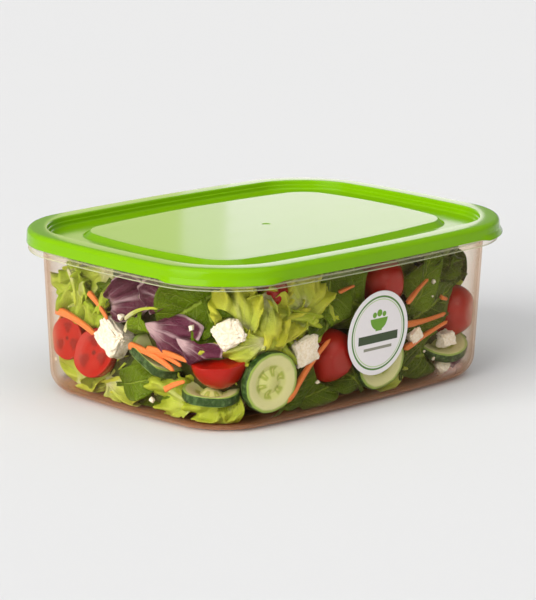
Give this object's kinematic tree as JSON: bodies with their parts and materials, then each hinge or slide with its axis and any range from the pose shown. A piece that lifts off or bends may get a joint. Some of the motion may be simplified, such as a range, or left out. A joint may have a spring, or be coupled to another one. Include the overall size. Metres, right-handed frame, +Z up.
{
  "type": "snap lid food container",
  "caption": "Low rectangular clear plastic food tub with rounded corners, a green snap lid with a raised centre panel, and a round label on the long side.",
  "frame": {"origin": "middle of the underside of the tub, in the plane that the tub stands on", "axes": "+X along the long side, -Y out of the labelled long side, +Z up and along the way the lid lifts off"},
  "size_m": [0.25, 0.1902, 0.0917],
  "materials": {
    "clear_plastic": "clear glossy polypropylene with a faint warm tint, darker where it is seen edge-on",
    "green_plastic": "glossy opaque apple-green polyethylene",
    "printed_film": "satin white film printed with a green ring and a plain mark"
  },
  "bodies": {
    "tub": {"tub": "clear_plastic", "label": "printed_film"},
    "lid": {"lid": "green_plastic"}
  },
  "joints": [
    {"name": "lid_lift", "type": "slide", "parent": "tub", "child": "lid", "axis": [0, 0, 1], "range_m": [0, 0.1]}
  ]
}
